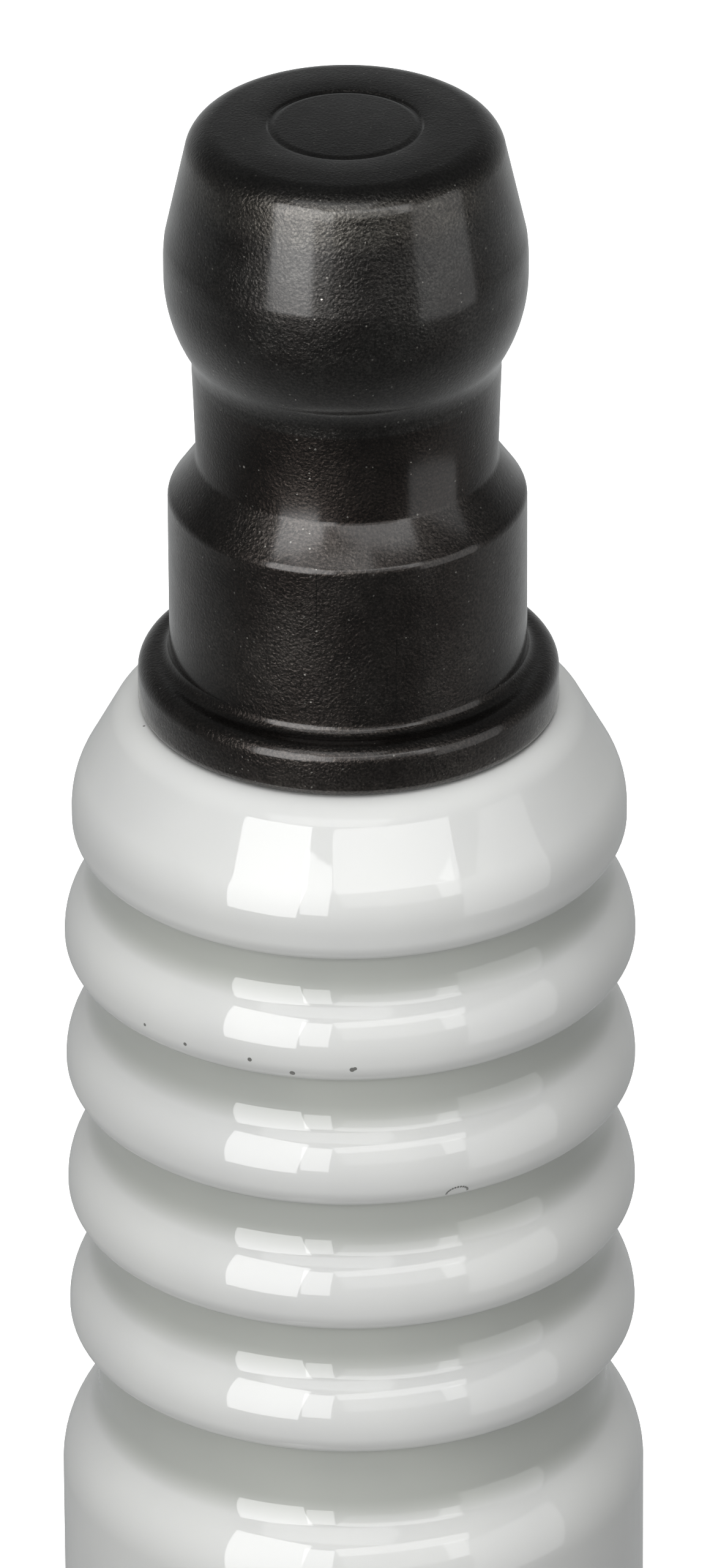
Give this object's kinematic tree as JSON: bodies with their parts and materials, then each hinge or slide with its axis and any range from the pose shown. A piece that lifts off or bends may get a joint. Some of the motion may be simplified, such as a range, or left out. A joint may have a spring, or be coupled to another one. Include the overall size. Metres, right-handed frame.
{
  "type": "spark plug",
  "caption": "Threaded spark plug with a ribbed glazed ceramic insulator, solid snap terminal, hexagon shell and loose folded gasket.",
  "frame": {"origin": "on the plug's axis, in the plane of the cylinder head, where the gasket's underside rests", "axes": "+Z along the plug's axis towards the terminal, +X towards the ground electrode's leg"},
  "size_m": [0.019, 0.019, 0.0773],
  "materials": {
    "blackened_steel": "black oxide with a fine grain",
    "glazed_alumina": "glossy clear glaze",
    "seal_glass": "fused, dark",
    "resistor_compound": "matt",
    "nickel_alloy": "drawn wire",
    "copper": "bare copper",
    "plated_steel": "nickel plated, satin",
    "bare_steel": "bare wire",
    "talc": "packed powder",
    "gasket_steel": "zinc plated sheet"
  },
  "bodies": {
    "plug": {"terminal_stud": "blackened_steel", "insulator": "glazed_alumina", "upper_glass_seal": "seal_glass", "resistor": "resistor_compound", "lower_glass_seal": "seal_glass", "centre_electrode": "nickel_alloy", "electrode_core": "copper", "shell": "plated_steel", "ground_electrode": "nickel_alloy", "upper_wire_ring": "bare_steel", "talc_ring": "talc", "lower_wire_ring": "bare_steel", "packing_ring": "bare_steel"},
    "gasket": {"crush_gasket": "gasket_steel"}
  },
  "joints": [
    {"name": "gasket_slide", "type": "slide", "parent": "plug", "child": "gasket", "axis": [0, 0, 1], "range_m": [-0.0009, 0]}
  ]
}
